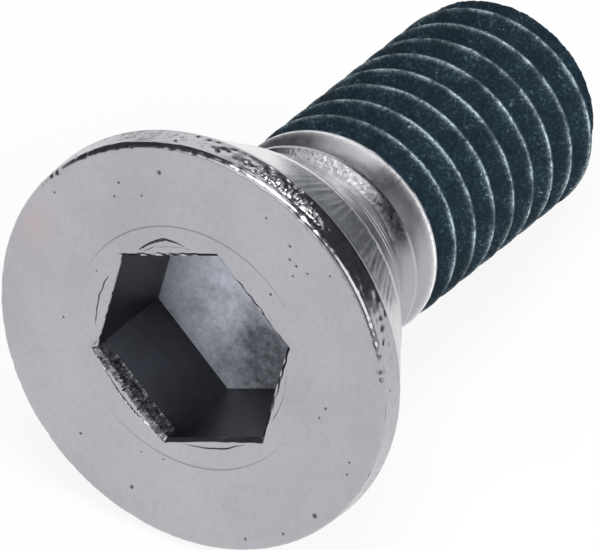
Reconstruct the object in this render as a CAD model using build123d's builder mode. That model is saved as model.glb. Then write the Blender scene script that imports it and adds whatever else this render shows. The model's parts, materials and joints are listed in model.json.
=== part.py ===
from build123d import *
import os
from math import atan2, ceil, degrees, radians, tan

# A countersunk socket screw, M6 x 16, whose flat head ends flush when driven home.
# It is drawn on its own axis, from the face of the head at z = 0 up to the tip, and
# is laid down at the end, the way it comes to rest on a table. Sizes are in mm.

# Head
head_diameter = 11.54  # the widest ring, where the land meets the seat
land_height = 0.8  # from the face to the widest ring
land_draft = 3.0  # degrees by which the land narrows towards the face
face_round = 0.16  # between the face and the land
ring_round = 0.15  # between the land and the seat
seat_angle = 60.0  # included angle of the countersunk seat

# Hexagon socket
socket_across_flats = 5.08
socket_depth = 3.15
socket_clocking = 8.8  # degrees from the lowest line of the screw to a corner
mouth_diameter = 5.6  # the cone that leads the key in, which stops short of the corners
mouth_angle = 90.0  # included angle of that cone

# Thread: ISO metric coarse, right-handed
thread_diameter = 6.0
thread_pitch = 1.0
flank_angle = 60.0  # between the two flanks
crest_share = 0.125  # flat left on the crest, as a share of the pitch
depth_share = 0.6134  # depth of the groove, as a share of the pitch
runout_angle = 40.0  # of the cone on which the groove climbs out, from the axis

# Shank
screw_length = 16.3  # over everything: a countersunk head counts in the length
tip_chamfer = 0.55
last_crest_setback = 0.15  # from the middle of the last crest to the tip chamfer

# Radii
head_radius = head_diameter / 2
face_radius = head_radius - land_height * tan(radians(land_draft))
mouth_radius = mouth_diameter / 2
thread_radius = thread_diameter / 2
root_radius = thread_radius - depth_share * thread_pitch

# Heights above the face, where the seat meets the thread and where the tip chamfer
# starts. The run-out cone ends a little under the root, inside the shank.
neck_height = land_height + (head_radius - thread_radius) / tan(radians(seat_angle / 2))
cone_end_radius = root_radius - 0.1 * thread_pitch
cone_end_height = neck_height + (thread_radius - cone_end_radius) / tan(radians(runout_angle))
chamfer_height = screw_length - tip_chamfer

# Section of the groove: a trapezium with its narrow side at the root. Its wide side
# stands a little proud of the crest, so that the cut leaves no skin.
crest_flat = crest_share * thread_pitch
flank_slope = tan(radians(flank_angle / 2))
overcut_radius = thread_radius + 0.05 * thread_pitch
groove_half_crest = (thread_pitch - crest_flat) / 2
groove_half_mouth = groove_half_crest + flank_slope * (overcut_radius - thread_radius)
groove_half_root = groove_half_crest - flank_slope * (thread_radius - root_radius)

# The groove is timed so that the last crest stands just short of the tip chamfer on
# the line that the screw lies on. It begins inside the head and leaves past the tip.
last_crest_height = chamfer_height - last_crest_setback
buried_turns = ceil((last_crest_height - neck_height) / thread_pitch) + 1
groove_start = last_crest_height - (buried_turns - 0.5) * thread_pitch
groove_length = (buried_turns + 1.5) * thread_pitch

# The bar that the groove is cut into is longer than the groove at both ends. The tip is
# then turned off it, with a cutter that stands clear of the bar.
bar_start = groove_start - thread_pitch / 2
bar_length = groove_length + 2 * thread_pitch
tip_radius = thread_radius - tip_chamfer
cutter_radius = thread_radius + thread_pitch
cutter_low = chamfer_height - thread_pitch
cutter_top = bar_start + bar_length + thread_pitch

with BuildPart() as upright:
    # Plain bar for the shank
    with BuildSketch(Plane.XY.offset(bar_start)):
        Circle(thread_radius)
    extrude(amount=bar_length)

    # Thread groove, swept along its helix
    with BuildLine() as groove_path:
        Helix(thread_pitch, groove_length, root_radius, center=(0, 0, groove_start))
    with BuildSketch(Plane.XZ):
        with BuildLine():
            Polyline(
                (root_radius, groove_start - groove_half_root),
                (overcut_radius, groove_start - groove_half_mouth),
                (overcut_radius, groove_start + groove_half_mouth),
                (root_radius, groove_start + groove_half_root),
                close=True,
            )
        make_face()
    sweep(path=groove_path.line, is_frenet=True, mode=Mode.SUBTRACT)

    # Flat tip with its 45 degree chamfer
    with BuildSketch(Plane.YZ):
        with BuildLine():
            Polyline(
                (0, screw_length),
                (tip_radius, screw_length),
                (cutter_radius, cutter_low),
                (cutter_radius, cutter_top),
                (0, cutter_top),
                close=True,
            )
        make_face()
    revolve(axis=Axis.Z, mode=Mode.SUBTRACT)

    # Head: face, rim, seat, and the cone on which the groove climbs out of the shank
    with BuildSketch(Plane.YZ):
        with BuildLine():
            Polyline(
                (0, 0),
                (face_radius, 0),
                (head_radius, land_height),
                (thread_radius, neck_height),
                (cone_end_radius, cone_end_height),
                (0, cone_end_height),
                close=True,
            )
        make_face()
        fillet(vertices().sort_by(Axis.X)[-2], face_round)
        fillet(vertices().sort_by(Axis.X)[-1], ring_round)
    revolve(axis=Axis.Z)

    # Hexagon socket with a flat floor, and the cone at its mouth
    with BuildSketch(Plane.XY):
        RegularPolygon(
            socket_across_flats / 2, side_count=6, major_radius=False, rotation=socket_clocking
        )
    extrude(amount=socket_depth, mode=Mode.SUBTRACT)
    with BuildSketch(Plane.YZ):
        with BuildLine():
            Polyline(
                (0, 0),
                (mouth_radius, 0),
                (0, mouth_radius / tan(radians(mouth_angle / 2))),
                close=True,
            )
        make_face()
    revolve(axis=Axis.Z, mode=Mode.SUBTRACT)

# At rest the screw lies on the widest ring of its head and on its last crest, so its
# axis dips towards the tip. The tip points along +X.
rest_height = last_crest_height + crest_flat / 2
rest_tilt = degrees(atan2(head_radius - thread_radius, rest_height - land_height))
with BuildPart() as screw:
    add(upright.part, rotation=(0, 90 + rest_tilt, 0))

# The origin is on the table, under the middle of the box around the screw
box = screw.part.bounding_box()
screw.part.position = (-box.center().X, 0, -box.min.Z)

os.makedirs("parts", exist_ok=True)
screw.part.label = "screw"
export_step(screw.part, "parts/screw.step")
print(f"rest tilt {rest_tilt:.2f} deg, box {screw.part.bounding_box()}")
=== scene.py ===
# %% [markdown]
# # A countersunk socket screw
# The screw is one piece of steel: a head with a conical seat and a hexagon socket, and a
# shank with a rolled thread. It is plated all over, and a dry thread-locking coat covers
# the thread. The solid model is loaded first, because it is the frame that everything
# fits.

# %% Load the solid model
import json
import math
import bpy
import numpy as np
from mathutils import Matrix, Vector


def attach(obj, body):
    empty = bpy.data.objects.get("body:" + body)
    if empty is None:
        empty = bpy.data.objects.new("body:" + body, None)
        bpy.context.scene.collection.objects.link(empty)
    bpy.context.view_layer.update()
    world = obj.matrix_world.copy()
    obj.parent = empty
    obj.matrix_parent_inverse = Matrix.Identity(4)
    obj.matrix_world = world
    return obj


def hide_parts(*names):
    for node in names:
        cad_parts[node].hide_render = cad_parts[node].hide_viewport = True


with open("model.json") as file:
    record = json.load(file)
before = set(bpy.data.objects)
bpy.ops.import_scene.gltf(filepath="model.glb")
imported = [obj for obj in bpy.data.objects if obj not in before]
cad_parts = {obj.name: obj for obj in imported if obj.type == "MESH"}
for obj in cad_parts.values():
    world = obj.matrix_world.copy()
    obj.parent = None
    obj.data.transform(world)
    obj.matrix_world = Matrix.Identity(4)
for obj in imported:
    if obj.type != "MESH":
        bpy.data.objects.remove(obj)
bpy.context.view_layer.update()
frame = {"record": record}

# %% [markdown]
# The screw lies on a table, so its axis leans. Each shape could be built upright and then
# turned, but a turned object would carry its pattern along with it. So every corner is
# worked out in the screw's own coordinates and put straight where it belongs: a height x
# above the face along the axis, a radius r, and an angle round the axis that starts at
# the lowest line. The record tells where the middle of the face is.

# %% The screw's own axis
MM = 0.001
TURN = 2 * math.pi
mounts = {mount["name"]: mount for mount in frame["record"]["mounts"]}
face_centre = np.array(mounts["hexagon_socket"]["pos_m"])
axis = -np.array(mounts["hexagon_socket"]["axis"])
axis /= np.linalg.norm(axis)
down = np.array([axis[2], 0.0, -axis[0]])
side = np.array([0.0, 1.0, 0.0])


def place(x, r, angle):
    """The point face centre + x * axis + r * (cos(angle) * down + sin(angle) * side), mm to m."""
    x, r, angle = np.broadcast_arrays(x, r, angle)
    out = x[..., None] * axis
    out = out + (r * np.cos(angle))[..., None] * down + (r * np.sin(angle))[..., None] * side
    return face_centre + MM * out


print("face centre", face_centre, "axis", axis)

# %% [markdown]
# The camera looks down at the head from the front. A long lens far away keeps the sides of
# the shank parallel, as a maker's catalogue does. A flat camera without perspective could do
# the same, but a real lens keeps a trace of depth. Its stand is built from three directions
# at right angles: ahead, right and up.

# %% Camera
BEARING, ELEVATION = math.radians(31.1), math.radians(40.21)
LENS, SENSOR, FIELD = 1400.0, 36.0, 15.39 * MM  # lens and film in mm, width of the view in m
AIM_RIGHT, AIM_UP = 2.813 * MM, 1.878 * MM  # the middle of the view, from the face's centre
ahead = Vector((
    math.cos(BEARING) * math.cos(ELEVATION),
    math.sin(BEARING) * math.cos(ELEVATION),
    -math.sin(ELEVATION),
))
rightward = Vector((math.sin(BEARING), -math.cos(BEARING), 0.0))
upward = rightward.cross(ahead)
target = Vector(face_centre) + rightward * AIM_RIGHT + upward * AIM_UP
stand = Matrix((rightward, upward, -ahead)).transposed().to_4x4()
stand.translation = target - ahead * (LENS / SENSOR * FIELD)

camera = bpy.data.objects.new("camera", bpy.data.cameras.new("camera"))
camera.data.lens, camera.data.sensor_width = LENS, SENSOR
camera.data.clip_start, camera.data.clip_end = 0.01, 10.0
camera.matrix_world = stand
bpy.context.scene.collection.objects.link(camera)
bpy.context.scene.camera = camera
print("camera at", tuple(round(value, 3) for value in stand.translation))

# %% [markdown]
# The sizes repeat those of the solid model, so that the looks lie on it. Two more follow
# from them: where the seat meets the shank, and where the flat face ends and its rounded
# edge begins.

# %% Sizes in millimetres
RING_R, LAND, DRAFT = 5.77, 0.8, math.radians(3.0)  # widest ring, and the land that leans in to it
FACE_ROUND, RING_ROUND = 0.16, 0.15
SEAT, FLANK = math.radians(30.0), math.radians(30.0)  # half of the cone, half of the thread's groove
SHANK_R, LENGTH, CHAMFER = 3.0, 16.3, 0.55
PITCH, DEPTH, CREST, LAST_CREST = 1.0, 0.6134, 0.125, 15.6
RUNOUT = math.radians(40)
HEX_R, SOCKET, CLOCK = 2.54, 3.15, math.radians(8.8)  # half across flats, depth, and turn
LIP_R, BREAK, FLARE = 2.84, 0.12, 1.045  # the worn mouth: outer ring, height of the broken edge, widening
NECK = LAND + (RING_R - SHANK_R) / math.tan(SEAT)
FLAT_R = RING_R - LAND * math.tan(DRAFT) - FACE_ROUND * math.tan((math.pi / 2 - DRAFT) / 2)
print("the neck is at", round(NECK, 3), "and the flat face reaches", round(FLAT_R, 3))

# %% [markdown]
# Worn metal is never even. It could be sculpted by hand or displaced by an image, but two
# small formulas do the same with plain numbers and close on themselves round the screw: a
# sum of waves for anything that runs on, and a sum of round hollows for anything that was
# struck. Both draw from a seeded generator, so that each run gives the same marks.

# %% Waves and hollows


def ripple(seed, count, around, along, angle, x):
    """A sum of count cosines of (m * angle + k * x + start), with m a whole number of waves a
    turn, up to around, and k up to along waves per mm. Its spread is about 1."""
    rng = np.random.default_rng(seed)
    total = 0.0
    for _ in range(count):
        m = int(rng.integers(-around, around + 1))
        total = total + np.cos(m * angle + TURN * rng.uniform(-along, along) * x + rng.uniform(0, TURN))
    return total * math.sqrt(2.0 / count)


def dents(seed, count, x_span, radius, size, depth, angle, x):
    """The sum of round hollows: each is depth * exp(-(distance / size)^2) about its own middle,
    and a little longer or shorter round the screw than along it."""
    rng = np.random.default_rng(seed)
    total = np.zeros(np.broadcast(angle, x).shape)
    for _ in range(count):
        middle_x, middle_angle = rng.uniform(*x_span), rng.uniform(0, TURN)
        wide, deep, stretch = rng.uniform(*size), rng.uniform(*depth), rng.uniform(0.7, 1.6)
        gap = np.mod(angle - middle_angle + math.pi, TURN) - math.pi
        total += deep * np.exp(-(((x - middle_x) / wide) ** 2 + (gap * radius / (wide * stretch)) ** 2))
    return total


def hill(value, middle, width, power=2):
    """A smooth hill of height 1: exp(-((value - middle) / width)^power)."""
    return np.exp(-(((value - middle) / width) ** power))


print("spread of a ripple", round(float(ripple(1, 40, 20, 0.0, np.linspace(0, TURN, 999), 0.0).std()), 2))

# %% [markdown]
# The front of the head is one sheet that is carried round the axis: a stack of rings, each
# with the same number of corners. It starts at the middle of the socket's floor, climbs the
# walls, crosses the worn mouth and the flat face, and turns over the rounded edge. A cutter
# could take the socket out of a disc, but then no ring would follow the mouth, where the
# wear is. The six corners of the hexagon fall on the grid, so that they stay sharp.

# %% Corners of a ring, and the hexagon
COLUMNS = 768
turn = CLOCK + np.arange(COLUMNS) * TURN / COLUMNS


def hexagon(angle):
    """Radius of the hexagon: half across flats over the cosine of the angle from the nearest flat's middle."""
    return HEX_R / np.cos(np.mod(angle - CLOCK, math.pi / 3) - math.pi / 6)


print("hexagon from", hexagon(turn).min(), "to", round(hexagon(turn).max(), 3))

# %% Rings of the socket and its mouth
FLOOR, WALL, BROKEN, CRESCENT, FACE, EDGE = range(6)  # the bands of the sheet
front_rings = []


def add_ring(x, r, band):
    """One ring: a height and a radius at each corner, and the band that it belongs to."""
    front_rings.append((np.broadcast_to(x, turn.shape), np.broadcast_to(r, turn.shape), band))


wall_r = hexagon(turn)
for share in np.linspace(0.0, 1.0, 13):
    add_ring(SOCKET, wall_r * share, FLOOR)
for height in np.concatenate([np.linspace(SOCKET, 0.7, 7)[1:], np.linspace(0.7, BREAK, 15)[1:]]):
    add_ring(height, wall_r, WALL)

# outside each flat the punch pressed a shallow crescent, which ends at a round lip
flare = wall_r * FLARE
lip = np.maximum(flare, LIP_R)
sink = 0.2 * (lip - flare)
groove = np.minimum(0.02, (lip - flare) / 2)
for share in np.linspace(0.0, 1.0, 5)[1:]:
    add_ring(BREAK + (sink - BREAK) * share, wall_r + (flare - wall_r) * share, BROKEN)
for share in np.linspace(0.0, 1.0, 4)[1:]:
    add_ring(sink, flare + (lip - groove - flare) * share, CRESCENT)
add_ring(sink + 0.02 * (sink > 0.02), lip, CRESCENT)
print("the crescents are up to", round(float(sink.max()), 3), "mm deep")

# %% Rings of the face and its rounded edge
PRESS_RING = (3.32, 3.52)  # fine rings here carry the mark that the press left
for share in np.linspace(0.0, 1.0, 25)[:-1]:
    add_ring(0.0, lip + 0.01 + (PRESS_RING[0] - lip - 0.01) * share, FACE)
for ring in np.concatenate([np.linspace(*PRESS_RING, 17)[:-1], np.linspace(PRESS_RING[1], FLAT_R, 26)]):
    add_ring(0.0, ring, FACE)
for bend in np.linspace(0.0, math.pi / 2 - DRAFT, 9)[1:]:
    add_ring(FACE_ROUND * (1 - math.cos(bend)), FLAT_R + FACE_ROUND * math.sin(bend), EDGE)

front_x = np.array([ring[0] for ring in front_rings])
front_r = np.array([ring[1] for ring in front_rings])
kind = np.array([ring[2] for ring in front_rings])
band = kind[:, None]
front_angle = np.broadcast_to(turn, front_x.shape)
past_corner = np.mod(front_angle - CLOCK, TURN)
print("front of the head", front_x.shape, "rings and corners")

# %% [markdown]
# The mouth shows how the socket was made. A punch was driven in cold, and on its way out it
# tore one flat and lifted a fold above another. Each mark is a small move of the corners,
# which is then part of the mesh and catches the light from any side. The rings outside the
# tear move less and less, so that none of them crosses its neighbour.

# %% The torn flat
one_flat = np.clip(np.sin((front_angle - CLOCK) * 3), 0, 1) ** 0.3 * (past_corner < math.pi / 3)
tear = one_flat * np.clip((0.55 - front_x) / 0.1, 0, 1) * ((band == WALL) | (band == BROKEN))
beside_tear = one_flat * ((band == CRESCENT) | (band == FACE)) * np.clip(1 - (front_r - flare) / 0.25, 0, 1)
rag = ripple(11, 70, 260, 4.0, front_angle, np.maximum(front_x, 0.06))
torn = (tear + beside_tear) * (0.05 + 0.02 * rag)
print("torn back by up to", round(float(torn.max()), 3), "mm")

# %% The face: a faint wave, the ring of the press, and nicks in its edge
wave = np.where(band == FACE, 0.0010 * ripple(12, 30, 5, 0.0, front_angle, front_x), 0.0)
shown = np.clip(np.cos(front_angle - math.radians(170)) - 0.45, 0, 1)
shown = shown + np.clip(np.cos(front_angle - math.radians(350)) - 0.6, 0, 1)
ring_line = np.where(band == FACE, np.minimum(shown * 2.5, 1) * hill(front_r, 3.42, 0.02), 0.0)
nicks = dents(13, 260, (0.0, 0.12), RING_R, (0.025, 0.10), (0.002, 0.013), front_angle, front_x)
nicks = np.where(band == EDGE, nicks, 0.0)
fading = np.where(band == FACE, np.clip(1 - (front_r - lip) / 0.1, 0, 1), 1.0)  # the burr dies out here
front_x = front_x + wave + 0.005 * ring_line + nicks * 0.6
front_r = front_r + torn - nicks * 0.8
print("deepest nick", round(float(nicks.max()), 3), "mm")

# %% The lifted fold and the burr
FOLD_ANGLE, FOLD_R = 159, 2.88
past_fold = np.degrees(front_angle) - FOLD_ANGLE
part = np.clip(1 - np.where(past_fold < 0, -past_fold / 17, past_fold / 12), 0, 1)
half_width = np.where(past_fold < 0, 0.018, 0.008) + 0.024 * part
fold = np.clip((half_width - np.abs(front_r - FOLD_R - 0.17 * part ** 0.8)) / 0.02, 0, 1)
fold = fold * (part > 0) * ((band == CRESCENT) | (band == FACE))
burr = ripple(14, 50, 50, 0.0, front_angle, front_x * 0)
across, aside = front_r * np.cos(front_angle), front_r * np.sin(front_angle)
front_x = front_x + 0.04 * fold + 0.006 * burr * ((band == BROKEN) | (band == CRESCENT))
front_r = front_r + 0.008 * burr * fading * ((band >= BROKEN) & (band <= FACE))
print("the fold covers", int((fold > 0.5).sum()), "corners")

# %% [markdown]
# Shade is painted into the socket: the floor is painted darker towards one side, where the
# walls shade it, and the walls are painted darker in the lowest corner and on one whole flat,
# where little light reaches. The fold and the ring of the press are painted dark as marks. A
# painted image could carry this, but a number at each corner of the mesh is enough for soft
# painted shade. The finishes read these numbers by name.

# %% Painted shade and marks on the front
# painted shadow: the floor of the socket darkens towards the side that the walls shade
floor_shadow = np.exp(-((across - 1.75) ** 2 + (aside + 0.55) ** 2) / 1.6) * (band == FLOOR)
from_lowest = np.degrees((front_angle + math.pi) % TURN - math.pi)
# painted shade in the lowest corner of the walls and on one whole flat
low_corner = (band == WALL) * hill(from_lowest, 2, 13) * np.clip((2.2 - front_x) / 1.6, 0, 1)
dark_flat = 0.6 * (band == WALL) * (np.abs(np.degrees(past_corner) - 90) < 30)
shade_and_marks = np.maximum(np.maximum(floor_shadow, np.maximum(low_corner, dark_flat)), np.maximum(fold, 0.6 * ring_line))
warm = hill(across, -1.8, 0.7) * hill(aside, 4.9, 0.6) * (band == FACE)
front_marks = {"shade_and_marks": shade_and_marks.ravel(), "warm": warm.ravel()}
print("marks on the front", list(front_marks))

# %% [markdown]
# Each face of the sheet takes the finish of its band: floor, wall, torn metal or plating.
# One object with four finishes does this, because separate objects would show a gap or a
# double wall where they meet. The faces join each corner to its neighbours, and the last
# column joins the first.

# %% Faces of a sheet of rings, and the finishes of the front


def ring_faces(rows, columns):
    """Quads (i, j), (i, j + 1), (i + 1, j + 1), (i + 1, j) of a grid whose columns close on
    themselves. Their order makes them point outwards on a sheet whose rows run from the floor
    of the socket over the face and on towards the tip."""
    i, j = np.meshgrid(np.arange(rows - 1), np.arange(columns), indexing="ij")
    k = (j + 1) % columns
    quads = np.stack([i * columns + j, i * columns + k, (i + 1) * columns + k, (i + 1) * columns + j], -1)
    return quads.reshape(-1, 4)


ON_FLOOR, ON_WALL, ON_TORN, ON_PLATE = range(4)
finish_of_band = np.array([ON_FLOOR, ON_WALL, ON_PLATE, ON_PLATE, ON_PLATE, ON_PLATE])
front_points = place(front_x, front_r, front_angle).reshape(-1, 3)
front_quads = ring_faces(*front_x.shape)
front_slots = np.repeat(finish_of_band[kind[1:]], COLUMNS)
# painted shade: the broken edge of the lowest flat takes the dark finish of the walls
shaded_flat_edge = (past_corner[1:] > math.radians(300)) & (band[1:] == BROKEN)
front_slots[shaded_flat_edge.ravel()] = ON_WALL
front_slots[tear[1:].ravel() > 0.2] = ON_TORN
print("front of the head", len(front_quads), "quads,", int((front_slots == ON_TORN).sum()), "of them torn")

# %% [markdown]
# The side of the head is one profile carried round the axis, as if it were turned on a
# lathe. It runs over the land and the widest ring and down the conical seat to the neck, and
# its end is hidden inside the shank. A cone and a short cylinder with a Bevel modifier would
# give the same form, but then the rings couldn't be laid where the marks are. The rounding
# between land and seat is a true arc, because bright metal shows every kink.

# %% Profile of the side of the head


def side_profile():
    """Points (x, r): the land, an arc from the land's direction to the seat's, and the seat.
    The arc starts RING_ROUND * tan(bend / 2) before the corner of the two lines."""
    start = FACE_ROUND * (1 - math.sin(DRAFT))
    back = RING_ROUND * math.tan((DRAFT + SEAT) / 2)
    land_end = np.array([LAND - back * math.cos(DRAFT), RING_R - back * math.sin(DRAFT)])
    arc_middle = land_end + RING_ROUND * np.array([math.sin(DRAFT), -math.cos(DRAFT)])
    first = np.array([start, RING_R - (LAND - start) * math.tan(DRAFT)])
    land = first + (land_end - first) * np.linspace(0, 1, 18)[:, None]
    bend = np.linspace(-DRAFT, SEAT, 8)[1:]
    ring = arc_middle + RING_ROUND * np.stack([np.sin(bend), np.cos(bend)], 1)
    seat_end = np.array([NECK + 0.1, SHANK_R - 0.1 * math.tan(SEAT)])
    seat = ring[-1] + (seat_end - ring[-1]) * np.linspace(0, 1, 82)[1:, None]
    hidden = np.array([[NECK + 0.1, 2.2], [NECK + 0.1, 0.0]])
    return np.concatenate([land, ring, seat, hidden])


profile = side_profile()
side_x, side_angle = np.broadcast_arrays(profile[:, :1], turn)
side_r = np.broadcast_to(profile[:, 1:], side_x.shape)
side_degrees = np.degrees(np.mod(side_angle, TURN))
on_land = np.clip((side_x - 0.2) / 0.1, 0, 1) * np.clip((LAND - 0.02 - side_x) / 0.1, 0, 1)
on_seat = np.clip((side_x - LAND - 0.1) / 0.2, 0, 1) * np.clip((NECK + 0.05 - side_x) / 0.1, 0, 1)
print("side of the head", side_x.shape, "rings and corners")

# %% [markdown]
# The land was struck in handling, so it carries hundreds of small hollows, and they are
# deeper where the screw was hit harder. Bump in the finish alone would be quicker, but it
# would leave the outline of the ring too clean. So the hollows are real dips in the mesh.

# %% Hammer marks on the land
BEATEN_ANGLE, BEATEN_WIDTH = 203, 11
struck_hard = hill(side_degrees, BEATEN_ANGLE, BEATEN_WIDTH, 4)
hard = 0.55 + struck_hard * 1.6 + hill(side_degrees, 165, 25) * 0.4
hard += hill(side_degrees, 258, 9) * 0.8 - hill(side_degrees, 230, 11) * 0.2
struck = dents(21, 900, (0.05, 0.8), RING_R, (0.035, 0.1), (0.004, 0.028), side_angle, side_x) * hard
beaten = struck_hard * on_land * hill(side_x, 0.3, 0.24, 4)
print("deepest hammer mark", round(float((on_land * struck).max()), 3), "mm")

# %% [markdown]
# The seat was pressed into a conical die, and it copies what the die had: fine lines along
# it, one ridge and one shallow hollow across it, and a few unsteady grooves near the neck.
# On one side it was scored later, so the lines are deeper there. Lines and grooves are waves
# with many turns and few turns, and each fades out at its own ragged edge.

# %% Lines, ridge and grooves of the seat
grooved = np.clip((side_x - 4.3) / 0.5, 0, 1) * hill(side_degrees, 225, 16)
unsteady = 0.9 * ripple(23, 16, 14, 0.6, side_angle, side_x)
grooves = 0.014 * grooved * np.sin(TURN * (side_x - (side_degrees - 228) * 0.003) / 0.29 + unsteady)
# the score marks fade at edges that waver by 2.5 degrees and by 0.12 mm
ragged_side = 2.5 * ripple(24, 20, 3, 0.8, 0 * side_angle, side_x)
ragged_end = 0.12 * ripple(25, 20, 40, 0.0, side_angle, 0 * side_x)
scored_and_shaded = hill(side_degrees + ragged_side, 221, 16) * hill(side_x + ragged_end, 2.25, 1.35, 4)
lines = ripple(22, 80, 190, 0.25, side_angle, side_x) * 0.003 - 0.004
lines = np.minimum(lines * (0.6 + 4.6 * scored_and_shaded), 0.02 * scored_and_shaded)
ridge = 0.035 * hill(side_x, 3.62, 0.13)
hollow = -0.05 * hill(side_x, 4.45, 0.45)
side_r = side_r - on_land * struck + on_seat * (lines + ridge + hollow + grooves)

# painted highlight: the top of the seat is painted paler
seat_highlight = on_seat * hill(side_degrees, 180, 27)
# painted shade in the grooves near the neck, and in the scored lines
side_marks = {"painted_shade": grooved * 0.35, "scored_and_shaded": scored_and_shaded, "beaten": beaten, "seat_highlight": seat_highlight}
side_marks = {label: values.ravel() for label, values in side_marks.items()}
side_points = place(side_x, side_r, side_angle).reshape(-1, 3)
side_quads = ring_faces(*side_x.shape)
print("side of the head", len(side_quads), "quads, marks", list(side_marks))

# %% [markdown]
# The thread was rolled: dies pressed a groove along a helix into the shank. Blender's Screw
# modifier could wind a profile, but it gives no say over the run-out into the head or the
# chamfer at the tip. Here one long strip is wound round the shank, and its rows follow the
# helix, so crest and flanks keep straight edges. After a turn the strip joins its own next
# rows.

# %% The strip and its rows
TURN_COLUMNS = 240
SHANK_START = 5.45  # just inside the head
FLANK_WIDTH = DEPTH * math.tan(FLANK)
stops = [-CREST / 2, CREST / 2, CREST / 2 + FLANK_WIDTH, 1 - CREST / 2 - FLANK_WIDTH, 1 - CREST / 2]
row_steps = np.concatenate([
    np.linspace(start, stop, count)[:-1]
    for start, stop, count in zip(stops, stops[1:], (5, 11, 6, 11))
]) * PITCH
ROWS_PER_TURN = len(row_steps)
turns = int(math.ceil((LENGTH - SHANK_START) / PITCH)) + 3
first_crest = LAST_CREST - math.ceil((LAST_CREST - SHANK_START) / PITCH) * PITCH - PITCH
rows = np.arange(turns * ROWS_PER_TURN)
row_x = first_crest + (rows // ROWS_PER_TURN) * PITCH + row_steps[rows % ROWS_PER_TURN]
shank_turn = np.arange(TURN_COLUMNS) * TURN / TURN_COLUMNS
shank_x = np.clip(row_x[:, None] + shank_turn / TURN * PITCH, SHANK_START, LENGTH)
shank_angle = np.broadcast_to(shank_turn, shank_x.shape)
print(turns, "turns, from", shank_x.min(), "to", shank_x.max())

# %% The thread's profile


def from_crest(x, angle):
    """Distance along the axis from the middle of the nearest crest, in mm, signed towards the tip."""
    u = (x - LAST_CREST) / PITCH - angle / TURN
    return (u - np.round(u)) * PITCH


def thread_radius(x, angle):
    """The crest radius less the groove, with straight flanks from a flat crest to a flat root.
    The run-out cone holds it up at the neck, and the chamfer of 45 degrees holds it down at the tip."""
    deep = np.clip((np.abs(from_crest(x, angle)) - CREST / 2) / math.tan(FLANK), 0, DEPTH)
    runout = SHANK_R - np.maximum(x - NECK, 0) * math.tan(RUNOUT)
    tip = SHANK_R - np.maximum(x - (LENGTH - CHAMFER), 0)
    return np.minimum(np.maximum(SHANK_R - deep, runout), tip)


print("root radius", round(float(thread_radius(LAST_CREST - 3 - PITCH / 2, 0.0)), 4))

# %% [markdown]
# The coat is a dry film that is painted on wet and sets rough. It lies thick in the groove,
# it was rubbed thin on the crests, and it starts with a ragged edge behind the second full
# crest. Bare plating shows before that. The film is a real thickness on the mesh, so it
# softens the root. It fades where the crests touch the table and at the tip, because
# nothing may stand past the solid there.

# %% Thickness of the coat
COAT_START = 6.66
PROUD = 0.07  # how far the coated crest may stand out
crest_free = np.clip(1.3 - 1.6 * np.cos(shank_turn), 0, 1)  # 0 where the crest lies on the table


def coat_cover(x, angle):
    """How much coat a place has: 0 before an edge that follows the helix, 1 from 0.03 mm past it."""
    edge = COAT_START + angle / TURN * PITCH + 0.012 * ripple(31, 24, 60, 0.0, angle, x * 0)
    return np.clip((x - edge) / 0.03, 0, 1)


def dressed_radius(x, angle):
    """The thread's radius plus cover * thickness. The thickness is 0.03 mm and lumpy in the
    groove, goes over to the rubbed crest by exp(-(distance / 0.1)^2), and fades at the tip."""
    rubbed = np.exp(-((from_crest(x, angle) / 0.1) ** 2))
    lump = ripple(32, 90, 120, 3.0, angle, x)
    cover = coat_cover(x, angle)
    thick = (0.03 + 0.012 * lump) * (1 - rubbed)
    thick = thick + (0.034 - 0.008 * np.clip(lump, 0, 2)) * rubbed * crest_free
    thick = np.maximum(thick, 0) * np.clip((LENGTH - x) / 0.4, 0, 1)
    bare = 0.012 * crest_free * (1 - cover) * (x > NECK + 0.2)
    return np.minimum(thread_radius(x, angle) + cover * thick + bare, SHANK_R + PROUD * crest_free)


shank_r = dressed_radius(shank_x, shank_angle)
print("the coat stands out by up to", round(float(shank_r.max() - SHANK_R), 3), "mm")

# %% Marks on the shank
from_top = from_crest(shank_x, shank_angle)
shank_degrees = np.degrees(shank_angle)
cover = coat_cover(shank_x, shank_angle)
shank_marks = {
    "coat": cover,
    "rub_and_glint": hill(from_top, -0.03, 0.04),  # the line along the crest that a nut would rub, painted pale as a highlight too
    "near": hill(from_top, 0, 0.22),  # the flanks near the crest, where chips lie
    # a worn crest that is also painted bright, a painted highlight
    "crest_glint_and_wear": hill(from_top, -0.03, 0.05) * (shank_x > 6.5) * (1 - cover),
    # painted shade in the groove behind the first crest
    "painted_shade": hill(from_top, -0.1, 0.14) * hill(shank_degrees, 228, 18, 4) * (np.abs(shank_x - 6.2) < 0.4),
    "rough": hill(from_top, -0.22, 0.2, 4) * hill(shank_degrees, 190, 32, 4) * (shank_x < 6.5),
}
shank_marks = {label: values.ravel() for label, values in shank_marks.items()}
print("marks on the shank", list(shank_marks))

# %% Faces of the strip
i, j = np.meshgrid(np.arange(len(shank_x) - ROWS_PER_TURN - 1), np.arange(TURN_COLUMNS), indexing="ij")
k = (j + 1) % TURN_COLUMNS
next_turn = np.where(j == TURN_COLUMNS - 1, ROWS_PER_TURN, 0)  # the last column joins a turn further on
shank_quads = np.stack([
    i * TURN_COLUMNS + j,
    (i + next_turn) * TURN_COLUMNS + k,
    (i + 1 + next_turn) * TURN_COLUMNS + k,
    (i + 1) * TURN_COLUMNS + j,
], -1).reshape(-1, 4)
shank_points = place(shank_x, shank_r, shank_angle).reshape(-1, 3)
print("strip of", shank_x.shape, "corners,", len(shank_quads), "quads")

# %% [markdown]
# Rows past an end were drawn back to it, so both ends of the strip are one ring each. Rings
# that shrink to the middle close them: one inside the head, and one as the flat, coated end
# of the tip.

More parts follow.
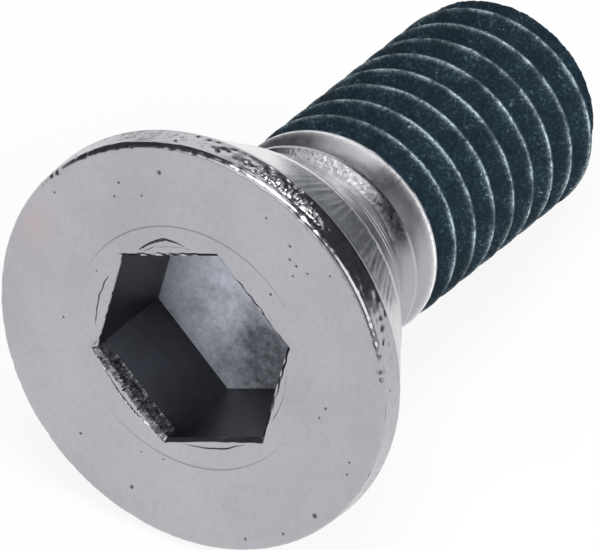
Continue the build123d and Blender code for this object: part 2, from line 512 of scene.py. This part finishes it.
# %% Ends of the shank
END_RINGS = 12
for end, is_tip in ((SHANK_START, False), (LENGTH, True)):
    rim = dressed_radius(np.full(TURN_COLUMNS, end), shank_turn)
    share = np.linspace(1, 0, END_RINGS)[:, None]
    cap = place(np.full((END_RINGS, TURN_COLUMNS), end), share * rim, shank_turn).reshape(-1, 3)
    quads = ring_faces(END_RINGS, TURN_COLUMNS)
    if not is_tip:
        quads = quads[:, ::-1]
    shank_quads = np.concatenate([shank_quads, quads + len(shank_points)])
    shank_points = np.concatenate([shank_points, cap])
    shank_marks = {
        label: np.concatenate([values, np.full(len(cap), float(is_tip and label == "coat"))])
        for label, values in shank_marks.items()
    }
print("shank with its ends", len(shank_quads), "quads")

# %% [markdown]
# Finishes are networks of nodes. Each one needs the same few moves again and again: add a
# node and join it, do a sum, mix two colours, or turn a number into a colour. Short helpers
# keep the finishes readable. Every pattern reads Object coordinates, which stay fixed to
# the metal, or the numbers that the meshes carry.

# %% Helpers for finishes


def feed(tree, socket, value):
    """Link a socket to this one, or set it to this number or colour."""
    if isinstance(value, bpy.types.NodeSocket):
        tree.links.new(value, socket)
    elif isinstance(value, tuple) and len(value) == 3 and socket.type == "RGBA":
        socket.default_value = (*value, 1.0)
    else:
        socket.default_value = value


def node(tree, kind, **inputs):
    """A node of this kind, with these inputs fed."""
    made = tree.nodes.new(kind)
    for name, value in inputs.items():
        feed(tree, made.inputs[name.replace("_", " ")], value)
    return made


def calc(tree, operation, *values, clamp=False):
    """One sum: the result of this operation on these values."""
    made = tree.nodes.new("ShaderNodeMath")
    made.operation, made.use_clamp = operation, clamp
    for socket, value in zip(made.inputs, values):
        feed(tree, socket, value)
    return made.outputs[0]


def times(tree, first, *others):
    """The product of two or more values."""
    for other in others:
        first = calc(tree, "MULTIPLY", first, other)
    return first


def mix_colour(tree, factor, first, second, blend="MIX"):
    """first * (1 - factor) + second * factor, or another way of blending."""
    made = tree.nodes.new("ShaderNodeMix")
    made.data_type, made.blend_type = "RGBA", blend
    for index, value in ((0, factor), (6, first), (7, second)):
        feed(tree, made.inputs[index], value)
    return made.outputs[2]


def ramp(tree, value, *stops):
    """A number turned into brightness or colour, in straight runs between (number, colour) stops."""
    made = tree.nodes.new("ShaderNodeValToRGB")
    feed(tree, made.inputs[0], value)
    elements = made.color_ramp.elements
    while len(elements) < len(stops):
        elements.new(0.5)
    for element, (spot, shade) in zip(elements, stops):
        element.position = spot
        element.color = (*shade, 1.0) if isinstance(shade, tuple) else (shade, shade, shade, 1.0)
    return made.outputs[0]


print("helpers", [helper.__name__ for helper in (feed, node, calc, times, mix_colour, ramp)])

# %% Helpers for grain, marks and relief


def new_finish(name):
    """A finish with its tree, its shader, and the Object coordinates that its patterns read."""
    finish = bpy.data.materials.new(name)
    finish.use_nodes = True
    tree = finish.node_tree
    return finish, tree, tree.nodes["Principled BSDF"], node(tree, "ShaderNodeTexCoord").outputs["Object"]


def noise(tree, spot, scale, detail, roughness=0.5):
    """Even noise from 0 to 1, with about scale cells a metre and ever finer layers."""
    made = node(tree, "ShaderNodeTexNoise", Vector=spot, Scale=scale, Detail=detail, Roughness=roughness)
    return made.outputs[0]


def mark(tree, name):
    """The number of this name that the mesh carries at its corners."""
    made = tree.nodes.new("ShaderNodeAttribute")
    made.attribute_name = name
    return made.outputs["Fac"]


def relief(tree, shader, height, strength, depth):
    """Fine unevenness that tilts the light only, from a height of 0 to 1 times depth in metres."""
    bump = node(tree, "ShaderNodeBump", Height=height, Strength=strength, Distance=depth)
    feed(tree, shader.inputs["Normal"], bump.outputs[0])


print("a noise of scale 7000 has a cell of about", round(1 / (7000 * MM), 2), "mm")

# %% [markdown]
# Zinc plating is a mirror that isn't quite clean. One flat grey would look like plastic, so
# its colour goes in slow clouds from a cool to a warmer grey, and a fine grain varies how
# sharp its reflections are. The same plating lies on the face, the side and the bare neck,
# so it is one function.

# %% Plating
CLOUDS = ((0.30, (0.435, 0.43, 0.462)), (0.5, (0.468, 0.466, 0.500)), (0.70, (0.505, 0.492, 0.518)))


def plate(tree, spot):
    """Colour, roughness and grain of the bright plating at a spot."""
    colour = ramp(tree, noise(tree, spot, 330.0, 5.0, 0.65), *CLOUDS)
    grain = noise(tree, spot, 7000.0, 3.0)
    colour = mix_colour(tree, 1.0, colour, ramp(tree, grain, (0.3, 0.92), (0.7, 1.0)), "MULTIPLY")
    return colour, ramp(tree, grain, (0.3, 0.16), (0.7, 0.26)), grain


plating, tree, shader, spot = new_finish("plating")
colour, rough, grain = plate(tree, spot)
print("greys of the plating", [shade for _, shade in CLOUDS])

# %% [markdown]
# A few pits in the face are open spots in the plating, dark and sunken. Random dots would be
# the quick way, but pits come singly and in small groups, so each one is listed: its distance
# from the axis in mm, its angle in degrees and its own half width in hundredths of a mm.

# %% Pits, and the face as a whole
PITS = (
    (4.93, 163, 8), (4.74, 147, 5), (4.42, 143, 4), (4.29, 154, 4), (5.31, 124, 4), (3.17, 112, 3),
    (3.80, 82, 4), (4.93, 201, 4), (4.79, 212, 5), (4.49, 215, 5), (4.52, 218, 5), (4.66, 222, 4),
    (5.25, 226, 4), (4.22, 220, 4), (3.26, 221, 5), (4.08, 273, 5), (3.96, 278, 4), (5.15, 287, 4),
    (5.24, 291, 4), (4.72, 38, 5), (3.72, 17, 3), (3.55, 7, 3), (4.86, 15, 7), (5.37, 336, 5),
    (5.36, 310, 9), (5.41, 323, 5),
)
WARM_GREY, SOOT = (0.50, 0.42, 0.43), (0.05, 0.05, 0.06)
nearest = 1.0
for pit_r, pit_angle, half_width in PITS:
    gap = tree.nodes.new("ShaderNodeVectorMath")
    gap.operation = "DISTANCE"
    feed(tree, gap.inputs[0], spot)
    feed(tree, gap.inputs[1], tuple(place(0.0, pit_r, math.radians(pit_angle))))
    nearest = calc(tree, "MINIMUM", calc(tree, "DIVIDE", gap.outputs["Value"], half_width * 0.01 * MM), nearest)
pit = ramp(tree, nearest, (0.45, 1.0), (1.0, 0.0))
colour = mix_colour(tree, times(tree, mark(tree, "warm"), 0.6), colour, WARM_GREY)
dark = calc(tree, "MAXIMUM", pit, mark(tree, "shade_and_marks"))
feed(tree, shader.inputs["Base Color"], mix_colour(tree, times(tree, dark, 0.88), colour, SOOT))
feed(tree, shader.inputs["Roughness"], rough)
shader.inputs["Metallic"].default_value = 1.0
relief(tree, shader, calc(tree, "SUBTRACT", times(tree, grain, 0.12), pit), 1.0, 0.00001)
print("plating with", len(PITS), "pits")

# %% [markdown]
# On the side of the head the plating took blows and scratches. Where it was beaten it is
# bright and faceted. Where it was scored the lines are painted dark, partly as wear and partly
# as painted shade, and the grooves near the neck are painted darker as painted shade. The top
# of the seat is painted paler, a painted highlight. The meshes say where. The finish adds what
# is too fine for corners: small facets from a cell pattern, and crumbs from noise that break
# up the painted shade.

# %% Plating on the side of the head
HIGHLIGHT_GREY, BEATEN_GREY, PAINTED_DARK = (0.76, 0.76, 0.79), (0.85, 0.85, 0.87), (0.03, 0.03, 0.04)
side_plate, tree, shader, spot = new_finish("plating_side")
colour, rough, grain = plate(tree, spot)
scored_and_shaded, beaten = mark(tree, "scored_and_shaded"), mark(tree, "beaten")
# painted highlight along the top of the seat
colour = mix_colour(tree, times(tree, mark(tree, "seat_highlight"), 0.9), colour, HIGHLIGHT_GREY)
colour = mix_colour(tree, times(tree, beaten, 0.6), colour, BEATEN_GREY)
crumbs = noise(tree, spot, 9000.0, 4.0, 0.7)
# painted shade: the grooves near the neck and the scored lines are painted dark; the scoring itself is wear
painted_shade = times(tree, mark(tree, "painted_shade"), ramp(tree, crumbs, (0.35, 0.4), (0.6, 1.0)))
streaks = times(tree, scored_and_shaded, ramp(tree, crumbs, (0.50, 0.97), (0.64, 0.3)))
painted_shade = calc(tree, "ADD", painted_shade, streaks, clamp=True)
feed(tree, shader.inputs["Base Color"], mix_colour(tree, painted_shade, colour, PAINTED_DARK))
feed(tree, shader.inputs["Roughness"], times(tree, rough, calc(tree, "SUBTRACT", 1.0, times(tree, scored_and_shaded, 0.8))))
shader.inputs["Metallic"].default_value = 1.0
facets = node(tree, "ShaderNodeTexVoronoi", Vector=spot, Scale=6500.0).outputs["Distance"]
uneven = calc(tree, "ADD", times(tree, scored_and_shaded, crumbs, 0.7), times(tree, beaten, facets, 4.0))
relief(tree, shader, calc(tree, "ADD", times(tree, grain, 0.08), times(tree, uneven, 1.5)), 0.7, 0.00003)
print("side plating with", len(side_marks), "marks")

# %% [markdown]
# The walls of the socket were burnished by the punch. Their colour is painted very dark, a
# painted shade of the deep socket, and they are half metallic; the mark of painted shade
# makes them darker still. The floor is where the metal was squeezed: pale and dull, with a
# rough grain, and an uneven painted shadow that darkens it towards one side, broken into
# patches by noise.

# %% Walls of the socket
WALL_SHADE = (0.008, 0.008, 0.009)
bore, tree, shader, spot = new_finish("socket_wall")
grain = noise(tree, spot, 2500.0, 5.0, 0.6)
# painted shade: the walls are coloured nearly black, and blacker still where the mark says
colour = ramp(tree, grain, (0.3, (0.054, 0.056, 0.066)), (0.7, (0.074, 0.077, 0.092)))
feed(tree, shader.inputs["Base Color"], mix_colour(tree, mark(tree, "shade_and_marks"), colour, WALL_SHADE))
shader.inputs["Metallic"].default_value = 0.7
shader.inputs["Roughness"].default_value = 0.3
print("finish", bore.name)

# %% Floor of the socket
FLOOR_SHADE_COLOUR = (0.06, 0.065, 0.08)
bore_floor, tree, shader, spot = new_finish("socket_floor")
grain = noise(tree, spot, 5000.0, 6.0, 0.75)
colour = ramp(tree, grain, (0.35, (0.56, 0.59, 0.69)), (0.65, (0.80, 0.83, 0.93)))
# painted shadow towards one side of the floor, broken into patches by noise
patchy = times(tree, calc(tree, "SUBTRACT", noise(tree, spot, 900.0, 4.0, 0.6), 0.5), 1.3)
shade_and_patches = ramp(tree, calc(tree, "ADD", mark(tree, "shade_and_marks"), patchy), (0.02, 0.0), (0.75, 1.0))
shade_and_patches = times(tree, shade_and_patches, ramp(tree, grain, (0.3, 1.0), (0.7, 0.7)))
feed(tree, shader.inputs["Base Color"], mix_colour(tree, shade_and_patches, colour, FLOOR_SHADE_COLOUR))
shader.inputs["Metallic"].default_value = 0.15
shader.inputs["Roughness"].default_value = 0.45
relief(tree, shader, grain, 0.9, 0.00003)
print("finish", bore_floor.name)

# %% [markdown]
# Torn metal is neither plated nor smooth. Its colour jumps between dark hollows and bright
# torn edges, and the same noise gives its relief, so that light and shape agree.

# %% Torn metal at the mouth
torn_metal, tree, shader, spot = new_finish("socket_tear")
grain = noise(tree, spot, 6000.0, 5.0, 0.75)
feed(tree, shader.inputs["Base Color"], ramp(tree, grain, (0.4, (0.05, 0.05, 0.055)), (0.66, (0.30, 0.31, 0.33))))
shader.inputs["Metallic"].default_value = 0.9
shader.inputs["Roughness"].default_value = 0.35
relief(tree, shader, grain, 0.8, 0.00004)
print("finish", torn_metal.name)

# %% [markdown]
# The shank has two finishes that meet at the ragged edge of the coat. One material holds
# both and mixes them by the mark called coat, because two slots would cut the edge along
# faces. First comes the bare metal: plating with a rough strip below the first crest,
# painted shade in the groove, and a worn crest that is painted bright, a painted highlight
# as well as wear.

# %% Bare metal of the shank
ROOT_SHADE, GLINT_AND_WEAR_GREY = (0.02, 0.02, 0.025), (0.92, 0.92, 0.94)
shank_finish, tree, shader, spot = new_finish("thread_coat")
metal, metal_rough, _ = plate(tree, spot)
crumbs = noise(tree, spot, 9000.0, 4.0, 0.7)
grain = noise(tree, spot, 11000.0, 6.0, 0.75)
# painted shade in the groove behind the first crest, in crumbs
painted_shade = times(tree, mark(tree, "painted_shade"), ramp(tree, crumbs, (0.35, 1.0), (0.65, 0.35)))
strip = times(tree, mark(tree, "rough"), ramp(tree, crumbs, (0.4, 0.0), (0.6, 0.9)))
# painted highlight along the bare crest, which is worn too
worn_and_glint = times(tree, mark(tree, "crest_glint_and_wear"), 0.95, ramp(tree, grain, (0.38, 0.4), (0.50, 1.0)))
metal = mix_colour(tree, strip, metal, BEATEN_GREY)
metal = mix_colour(tree, painted_shade, metal, ROOT_SHADE)
metal = mix_colour(tree, worn_and_glint, metal, GLINT_AND_WEAR_GREY)
print("bare metal of", shank_finish.name)

# %% [markdown]
# The coat is dull and granular, a very dark blue-green with lighter grains. It is painted
# pale along the crests, partly because it was rubbed there and partly as a painted highlight,
# more in some places than in others, and small chips and specks lie beside them. A wide,
# blotchy noise decides where, so that the pale line isn't even.

# %% The dry coat, its wear and its painted highlight
DRY = ((0.3, (0.004, 0.014, 0.024)), (0.53, (0.011, 0.030, 0.047)), (0.72, (0.036, 0.082, 0.120)))
PALE_WEAR_AND_GLINT = (0.50, 0.62, 0.67)
blotch = noise(tree, spot, 1300.0, 5.0, 0.65)
dry = mix_colour(tree, 1.0, ramp(tree, grain, *DRY), ramp(tree, blotch, (0.35, 0.6), (0.65, 1.0)), "MULTIPLY")
# painted highlight and wear: a pale, broken line along each crest
rub_and_glint = times(tree, mark(tree, "rub_and_glint"), ramp(tree, grain, (0.40, 0.1), (0.55, 1.0)))
rub_and_glint = times(tree, rub_and_glint, ramp(tree, blotch, (0.42, 0.15), (0.56, 1.0)))
chip = times(tree, ramp(tree, noise(tree, spot, 7500.0, 2.0), (0.675, 0.0), (0.72, 0.9)), mark(tree, "near"))
chip = times(tree, chip, ramp(tree, blotch, (0.5, 0.0), (0.6, 1.0)))
speck = times(tree, ramp(tree, blotch, (0.45, 0.02), (0.6, 0.2)), ramp(tree, grain, (0.54, 0.0), (0.64, 1.0)))
speck = times(tree, mark(tree, "near"), speck)
rub_and_glint = calc(tree, "MAXIMUM", rub_and_glint, calc(tree, "MAXIMUM", chip, speck))
dry = mix_colour(tree, rub_and_glint, dry, PALE_WEAR_AND_GLINT)
print("coat in", len(DRY), "shades")

# %% Coat and metal together
coat = mark(tree, "coat")
bare = calc(tree, "SUBTRACT", 1.0, times(tree, worn_and_glint, 0.7))
rough = calc(tree, "ADD", times(tree, coat, 0.35), calc(tree, "ADD", metal_rough, 0.10))
feed(tree, shader.inputs["Base Color"], mix_colour(tree, coat, metal, dry))
feed(tree, shader.inputs["Metallic"], times(tree, calc(tree, "SUBTRACT", 1.0, coat), bare))
feed(tree, shader.inputs["Roughness"], rough)
shader.inputs["Specular IOR Level"].default_value = 0.2
strip_relief = times(tree, mark(tree, "rough"), crumbs, 2.6)
relief(tree, shader, calc(tree, "ADD", times(tree, grain, times(tree, coat, 1.1)), strip_relief), 0.7, 0.00003)
print("finishes", [finish.name for finish in bpy.data.materials])

# %% [markdown]
# A sheet becomes an object in one go, from whole arrays. Corners at one spot are merged, so
# the seams and the two ends close, and a face that loses corners by it shrinks to a triangle
# or goes. Edges sharper than 30 degrees stay crisp, and the rest is shaded smooth.

# %% From corners and faces to a piece
MERGE = 2e7  # corners closer than one part in this many of a metre are one
SHARP = math.radians(30.0)


def make_piece(name, points, quads, finishes, marks, slots=None):
    """One object from corners and quads, which rides on root and stands for the screw."""
    spots = np.round(points * MERGE).astype(np.int64)
    _, first, merged = np.unique(spots, axis=0, return_index=True, return_inverse=True)
    quads = merged.ravel()[quads]
    own = quads != np.roll(quads, 1, axis=1)
    keep = own.sum(1) >= 3
    sides = own[keep].sum(1)
    corners = quads[keep][own[keep]]

    mesh = bpy.data.meshes.new(name)
    mesh.vertices.add(len(first))
    mesh.vertices.foreach_set("co", points[first].ravel())
    mesh.loops.add(len(corners))
    mesh.loops.foreach_set("vertex_index", corners.astype(np.int32))
    mesh.polygons.add(len(sides))
    mesh.polygons.foreach_set("loop_start", (np.cumsum(sides) - sides).astype(np.int32))
    if slots is not None:
        mesh.polygons.foreach_set("material_index", slots[keep].astype(np.int32))
    for label, values in marks.items():
        mesh.attributes.new(label, "FLOAT", "POINT").data.foreach_set("value", values[first].astype(np.float32))
    mesh.update(calc_edges=True)
    mesh.shade_smooth()
    mesh.set_sharp_from_angle(angle=SHARP)
    for finish in finishes:
        mesh.materials.append(finish)

    piece = bpy.data.objects.new(name, mesh)
    bpy.context.scene.collection.objects.link(piece)
    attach(piece, "root")
    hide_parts("screw")
    print(name, len(first), "corners", int((sides - 2).sum()), "triangles")
    return piece


# %% The three sheets of the screw
make_piece("head_front", front_points, front_quads, (bore_floor, bore, torn_metal, plating), front_marks, front_slots)
make_piece("head_side", side_points, side_quads, (side_plate,), side_marks)
make_piece("shank", shank_points, shank_quads, (shank_finish,), shank_marks)

# %% [markdown]
# The table is plain and pale. To the camera, and in the bright metal, it is nearly white by
# its own glow, as a lit sweep of paper is. Its lit part stays in the mix, so that it keeps
# the screw's shadow. More light on a grey table would do the same to the eye, but it would
# wash the screw out.

# %% Table
GLOW_SHARE = 0.88
bpy.ops.mesh.primitive_plane_add(size=1.0, location=(0, 0, 0))
table = bpy.context.object
table.name = "table"
table_white, tree, shader, _ = new_finish("table_white")
shader.inputs["Base Color"].default_value = (0.85, 0.85, 0.85, 1.0)
shader.inputs["Roughness"].default_value = 0.9
glow = node(tree, "ShaderNodeEmission", Color=(1.0, 1.0, 1.0, 1.0), Strength=1.0)
path = node(tree, "ShaderNodeLightPath").outputs
seen = calc(tree, "MAXIMUM", path["Is Glossy Ray"], path["Is Transmission Ray"])
seen = times(tree, calc(tree, "MAXIMUM", path["Is Camera Ray"], seen), GLOW_SHARE)
blend = tree.nodes.new("ShaderNodeMixShader")
for index, value in enumerate((seen, shader.outputs[0], glow.outputs[0])):
    feed(tree, blend.inputs[index], value)
feed(tree, tree.nodes["Material Output"].inputs["Surface"], blend.outputs[0])
table.data.materials.append(table_white)
print("table", table.dimensions[:])

# %% [markdown]
# Bright metal shows its surroundings, so most lamps here are soft boxes that are seen in it:
# one above, and dimmer ones left, right and behind, with cards that put a soft tone in the
# face and in the neck. Two fill lamps only lift the dull surfaces, the coat and the socket,
# and aren't mirrored. The world is nearly dark, which gives the metal its dark bands.

# %% World and lamps
world = bpy.data.worlds.new("studio")
bpy.context.scene.world = world
world.use_nodes = True
world.node_tree.nodes["Background"].inputs["Color"].default_value = (0.055, 0.055, 0.06, 1.0)
LAMPS_AIM = Vector((0, 0, 0.004))


def softbox(name, azimuth, elevation, distance, size, radiance, mirrored=True):
    """A flat lamp that faces the middle of the screw from this bearing, in degrees and metres.
    Its power is radiance * pi * area, so that size and brightness are set apart."""
    lamp = bpy.data.objects.new(name, bpy.data.lights.new(name, "AREA"))
    lamp.data.shape = "RECTANGLE"
    lamp.data.size, lamp.data.size_y = size
    lamp.data.energy = radiance * math.pi * size[0] * size[1]
    lamp.visible_camera, lamp.visible_glossy = False, mirrored
    a, e = math.radians(azimuth), math.radians(elevation)
    away = Vector((math.cos(a) * math.cos(e), math.sin(a) * math.cos(e), math.sin(e)))
    lamp.location = LAMPS_AIM + away * distance
    lamp.rotation_euler = away.to_track_quat("Z", "Y").to_euler()
    bpy.context.scene.collection.objects.link(lamp)


LAMPS = (
    ("top", 205, 74, 0.3, (0.17, 0.17), 6.3),
    ("left", 166, 34, 0.3, (0.16, 0.2), 1.15),
    ("right", 262, 28, 0.3, (0.26, 0.2), 1.8),
    ("card", 34, 19, 0.3, (0.23, 0.15), 1.15),
    ("back", -2, 57, 0.3, (0.12, 0.09), 2.2),
    ("front_card", 180, 12, 0.42, (0.5, 0.24), 0.55),
    ("front_fill", 168, 9, 0.3, (0.18, 0.14), 3.9, False),
    ("side_fill", 280, 14, 0.3, (0.3, 0.25), 4.2, False),
)
for lamp in LAMPS:
    softbox(*lamp)
bpy.context.scene.view_settings.view_transform = "Standard"
print(len(LAMPS), "lamps")
